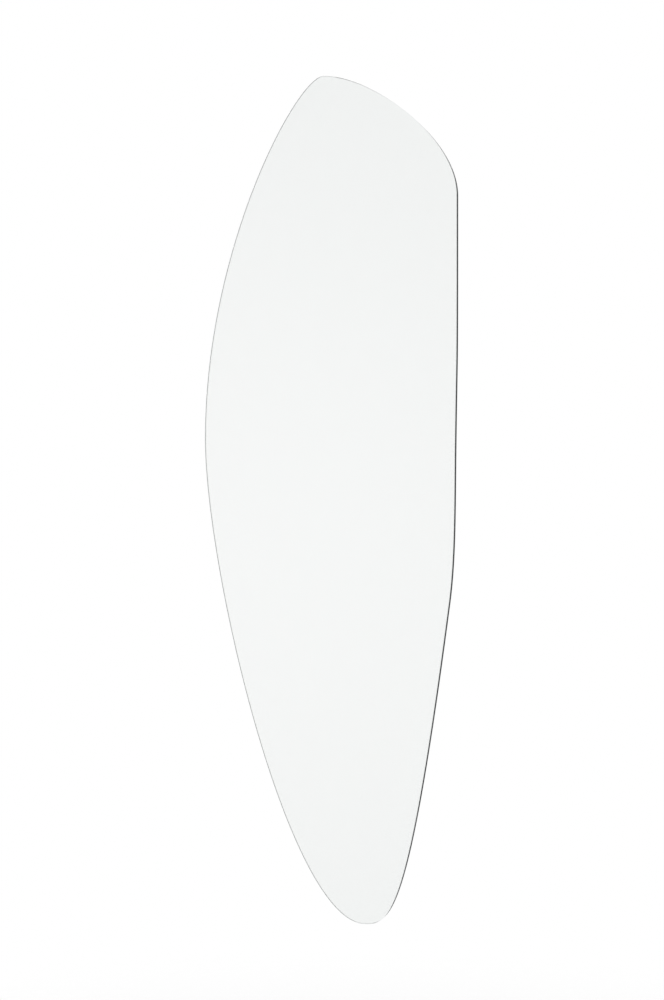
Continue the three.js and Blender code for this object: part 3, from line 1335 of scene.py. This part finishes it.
@dataclass
class Screws:
    """Pan-head screws with a rolled thread and a crossed recess."""

    nodes: dict[str, bpy.types.Object]
    core: float = 0.00125
    pitch: float = 0.0014
    plain: float = 0.0012
    neck_share: float = 0.86
    ridge_share: float = 0.22
    crown_share: float = 0.62
    head_fullness: float = 0.85
    head_flatness: float = 1.15
    head_edge: float = 0.0001
    recess_reach: float = 0.0021
    recess_arm: float = 0.00042
    recess_depth: float = 0.0013
    recess_mouth: float = 1.15
    recess_floor: float = 0.74
    first_turn: float = 17.0
    next_turn: float = 41.0
    head_steps: int = 10
    sides: int = 40
    rings_per_turn: int = 10
    crease: float = 24.0

    def build(self, start: str) -> list[Vector]:
        """Builds the screws of one kind.

        Args:
            start: What the names of their nodes begin with.

        Returns:
            The middles of the tops of their heads.
        """
        tops = []
        for number, node in enumerate(named(self.nodes, start)):
            form = ScrewForm.of_node(node, self.nodes[node])
            turn = math.radians(self.first_turn + self.next_turn * number)
            fit(self._screw(f"threaded_{node}", form, turn), node, MIRROR_BODY)
            tops.append(form.top)
        return tops

    def _screw(self, name: str, form: ScrewForm, turn: float) -> bpy.types.Object:
        """One screw, its head at the wall's side.

        Args:
            name: The piece's name.
            form: The screw's place and sizes.
            turn: How far its recess is turned.

        Returns:
            The new object.
        """
        shank = form.length - form.thickness
        count = int(shank / self.pitch * self.rings_per_turn)
        profile = self._head_profile(form)
        for step in range(1, count):
            profile.append((form.crest, -form.thickness - shank * step / count))
        profile.append((0.0, -form.length))
        radius_at = self._thread(form, turn)
        piece = lathe(name, profile, form.top, self.sides, SCREW_METAL, radius_at=radius_at)
        with edited(piece.data) as split:  # into triangles, which stay flat when they are cut
            bmesh.ops.triangulate(split, faces=split.faces)
        carve(piece, [self._recess(form.top, turn)], self.crease, flats=False)
        return piece

    def _head_profile(self, form: ScrewForm) -> list[Pair]:
        """The head's profile, from the middle of its top to its underside.

        Args:
            form: The screw's place and sizes.

        Returns:
            Pairs of radius and y below the top.
        """
        profile = [(0.0, 0.0)]
        for step in range(1, self.head_steps + 1):
            angle = math.pi / 2.0 * step / self.head_steps
            reach = form.head * math.sin(angle) ** self.head_fullness
            drop = (1.0 - math.cos(angle)) ** self.head_flatness
            profile.append((reach, -form.thickness * self.crown_share * drop))
        profile.append((form.head, self.head_edge - form.thickness))
        profile.append((form.head - self.head_edge, -form.thickness))
        return profile

    def _thread(self, form: ScrewForm, turn: float) -> Callable[[float, float, float], float]:
        """The radius of the shank, which winds from the core out to the crest.

        Args:
            form: The screw's place and sizes.
            turn: Where the thread starts.

        Returns:
            A function of the profile's radius and y and of the angle.
        """

        def radius(nominal: float, y: float, angle: float) -> float:
            """The head's own radius, then the plain neck's, then the thread's.

            Args:
                nominal: The profile's radius.
                y: The profile's y.
                angle: The angle about the screw.

            Returns:
                The radius there.
            """
            below = -y
            if below <= form.thickness or nominal == 0.0:
                return nominal
            if below < form.thickness + self.plain:
                return form.crest * self.neck_share
            taper = min(1.0, (form.length - below) / form.tip)
            phase = (below / self.pitch + (angle + turn) / (2.0 * math.pi)) % 1.0
            ridge = max(0.0, 1.0 - abs(phase - 0.5) / self.ridge_share)
            return (self.core + (form.crest - self.core) * ridge) * taper

        return radius

    def _recess(self, top: Vector, turn: float) -> bpy.types.Object:
        """The tapered cross that is cut into a head.

        Args:
            top: The middle of the head's top.
            turn: How far the cross is turned.

        Returns:
            The cutter's object.
        """
        arm, reach, depth = self.recess_arm, self.recess_reach, self.recess_depth
        quarter = [Vector((reach, -arm)), Vector((reach, arm)), Vector((arm, arm))]
        cross = []
        for step in range(4):
            way = Matrix.Rotation(turn + math.pi / 2.0 * step, 2)
            cross += [way @ corner for corner in quarter]
        stations = [(depth, self.recess_mouth), (0.0, 1.0), (-depth, self.recess_floor)]
        rings = [
            [top + Vector((corner.x * scale, y, corner.y * scale)) for corner in cross]
            for y, scale in stations
        ]
        return loft("recess", rings, [SCREW_METAL])


@dataclass
class Bumpers:
    """The moulded rubber bumpers, each with a recess for its screw."""

    nodes: dict[str, bpy.types.Object]
    sides: int = 72
    rounding: float = 0.0007

    def build(self) -> None:
        """Builds every bumper."""
        screws = named(self.nodes, "bumper_screw_")
        for node in named(self.nodes, "bumper_"):
            if node not in screws:
                fit(self._bumper(node), node, MIRROR_BODY)

    def _bumper(self, node: str) -> bpy.types.Object:
        """One bumper, whose profile follows its node's own.

        Args:
            node: The bumper's node.

        Returns:
            The new object.
        """
        low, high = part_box(node)
        centre = Vector(((low.x + high.x) / 2.0, low.y, (low.z + high.z) / 2.0))
        rings: dict[float, set[float]] = {}
        for vertex in self.nodes[node].data.vertices:
            radius = math.hypot(vertex.co.x - centre.x, vertex.co.z - centre.z)
            rings.setdefault(round(vertex.co.y - low.y, 6), set()).add(round(radius, 5))
        base, seat, shoulder, face = sorted(rings)
        corners = [
            (min(rings[base]), base),
            (max(rings[base]), base),
            (max(rings[shoulder]), shoulder),
            (max(rings[face]), face),
            (min(rings[face]), face),
            (max(rings[seat]), seat),
            (min(rings[seat]), seat),
        ]
        soft = self.rounding
        radii = [soft / 4.0, soft / 3.0, 2.0 * soft, soft, soft, soft / 2.0, soft / 4.0]
        profile = rounded(corners, radii)
        return lathe(f"rubber_{node}", profile, centre, self.sides, BUMPER_RUBBER, closed=True)


# ------------------------------------------------------------------ studio


@dataclass(frozen=True)
class Lamp:
    """A rectangular softbox."""

    name: str
    place: Triple
    size: Pair
    power: float
    mirrored: bool


LAMPS = (
    Lamp("lamp_front_left", (-2.6, -3.2, 1.6), (2.4, 2.4), 70.0, False),
    Lamp("lamp_front_right", (2.4, -3.0, 0.8), (1.8, 2.0), 36.0, False),
    Lamp("lamp_back_left", (-2.4, 2.6, 0.9), (0.9, 2.2), 50.0, True),
    Lamp("lamp_back_right", (2.7, 2.2, 1.5), (1.2, 1.6), 45.0, True),
)


@dataclass
class Studio:
    """A plain white studio: floor, lamps, world and camera."""

    aim: Triple = (-0.0119, -0.02545, -0.3517)
    azimuth: float = math.radians(14.2)
    distance: float = 4.0
    focal_pixels: float = 2259.5
    picture_height: float = 1000.0
    sensor: float = 36.0
    floor_drop: float = 0.35
    floor_radius: float = 1.6
    floor_sides: int = 96
    floor_colour: Colour = (0.86, 0.86, 0.86)
    floor_glow: float = 0.55
    floor_fade: Pair = (0.25, 0.95)
    ambient: float = 0.55
    lamp_aim: Triple = (0.0, 0.0, -0.35)
    bright_way: Triple = (-0.284, -0.9587, -0.0175)
    bright_tone: Colour = (0.984, 0.984, 0.984)
    side_tone: Colour = (0.65, 0.655, 0.654)
    back_tone: Colour = (0.38, 0.385, 0.384)
    fall_off: float = 60.0
    rise: float = 22.0

    def build(self, lowest: float) -> None:
        """Sets up everything around the object.

        Args:
            lowest: The z of the object's lowest point.
        """
        self._camera()
        self._world()
        self._floor(lowest - self.floor_drop)
        self._lamps()
        scene = bpy.context.scene
        scene.view_settings.view_transform = "Standard"

    def _camera(self) -> None:
        """The camera, level with the middle of the mirror and to its right."""
        data = bpy.data.cameras.new("camera")
        data.sensor_width = self.sensor
        data.lens = self.sensor * self.focal_pixels / self.picture_height
        camera = linked("camera", data)
        towards = Vector((math.sin(self.azimuth), -math.cos(self.azimuth), 0.0))
        camera.location = Vector(self.aim) + towards * self.distance
        camera.rotation_euler = (math.pi / 2.0, 0.0, self.azimuth)
        bpy.context.scene.camera = camera

    def _world(self) -> None:
        """White to the camera, a soft vignette in reflections, and an even glow on the rest."""
        world = bpy.data.worlds.new("studio_world")
        world.use_nodes = True
        bpy.context.scene.world = world
        graph = Graph(world.node_tree)
        way = graph.add("ShaderNodeTexCoord", output="Generated")
        middle = tuple(Vector(self.bright_way).normalized())
        settings = {"operation": "DOT_PRODUCT"}
        towards = graph.add("ShaderNodeVectorMath", settings, {0: way, 1: middle}, "Value")
        steepness = (towards - 1.0) * self.fall_off
        fade = graph.add("ShaderNodeMath", {"operation": "EXPONENT"}, {0: steepness})
        front_tone = tuple(2.0 * side - back for side, back in zip(self.side_tone, self.back_tone))
        frontness = towards * 0.5 + 0.5
        around = graph.blend(frontness, self.back_tone, front_tone)
        height = graph.add("ShaderNodeSeparateXYZ", None, {0: way}, "Z")
        lift = height * height * (1.0 - frontness) * self.rise
        lifted = graph.blend(lift, around, self.bright_tone)
        vignette = graph.blend(fade, lifted, self.bright_tone)
        in_surfaces = graph.rays("Is Glossy Ray", "Is Transmission Ray")
        glow = graph.blend(in_surfaces, (self.ambient,) * 3, vignette)
        colour = graph.blend(graph.rays("Is Camera Ray"), glow, (1.0, 1.0, 1.0))
        background = graph.add("ShaderNodeBackground", None, {"Color": colour, "Strength": 1.0})
        graph.add("ShaderNodeOutputWorld", None, {"Surface": background})

    def _floor(self, level: float) -> None:
        """A round pale floor that melts into the white around it and keeps the object's shadow.

        Args:
            level: The floor's z.
        """
        turns = [2.0 * math.pi * side / self.floor_sides for side in range(self.floor_sides)]
        radius = self.floor_radius
        rim = [(radius * math.cos(turn), radius * math.sin(turn), level) for turn in turns]
        floor = new_piece("studio_floor", rim, [range(self.floor_sides)], [])
        material = bpy.data.materials.new("floor_white")
        material.use_nodes = True
        graph = Graph(material.node_tree)
        matt = graph.add("ShaderNodeBsdfDiffuse", None, {"Color": (*self.floor_colour, 1.0)})
        clear = graph.add("ShaderNodeBsdfTransparent")
        flat = graph.place((1.0, 1.0, 0.0))
        away = graph.add("ShaderNodeVectorMath", {"operation": "LENGTH"}, {0: flat}, "Value")
        near, far = self.floor_fade
        rim_share = graph.ramp(away, (near * radius, far * radius))
        seen = graph.rays("Is Camera Ray", "Is Glossy Ray", "Is Transmission Ray")
        share = seen * (self.floor_glow + (1.0 - self.floor_glow) * rim_share)
        mixed = graph.add("ShaderNodeMixShader", None, {0: share, 1: matt, 2: clear})
        graph.add("ShaderNodeOutputMaterial", None, {"Surface": mixed})
        floor.data.materials.append(material)
        floor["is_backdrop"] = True

    def _lamps(self) -> None:
        """Large soft lamps. Only those behind the mirror show in polished surfaces."""
        for lamp in LAMPS:
            data = bpy.data.lights.new(lamp.name, "AREA")
            data.shape = "RECTANGLE"
            data.size, data.size_y = lamp.size
            data.energy = lamp.power
            light = linked(lamp.name, data)
            light.location = lamp.place
            aim = Vector(self.lamp_aim) - light.location
            light.rotation_euler = aim.to_track_quat("-Z", "Y").to_euler()
            light.visible_glossy = lamp.mirrored
            light.visible_transmission = lamp.mirrored


def as_lists(box: Any) -> list[list[float]]:
    """A box's lowest and highest corners as plain lists of numbers."""
    return [[float(part) for part in corner] for corner in box]


def main() -> None:
    """Builds every sub-assembly around the frame, then the studio."""
    logging.basicConfig(level=logging.INFO, format="%(name)s: %(message)s")
    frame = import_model()
    cad_box = as_lists(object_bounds())
    nodes = frame["nodes"]

    studio = Studio()
    studio.build(cad_box[0][2])

    pane = MirrorPane(nodes)
    pane.build()
    TapeStrips(nodes).build()
    BackingBoard(pane.outline).build()
    screws = Screws(nodes)
    rail_screws = screws.build("mirror_rail_screw_")
    screws.build("bumper_screw_")
    Cleat().build(rail_screws)
    Bumpers(nodes).build()


if __name__ == "__main__":
    main()
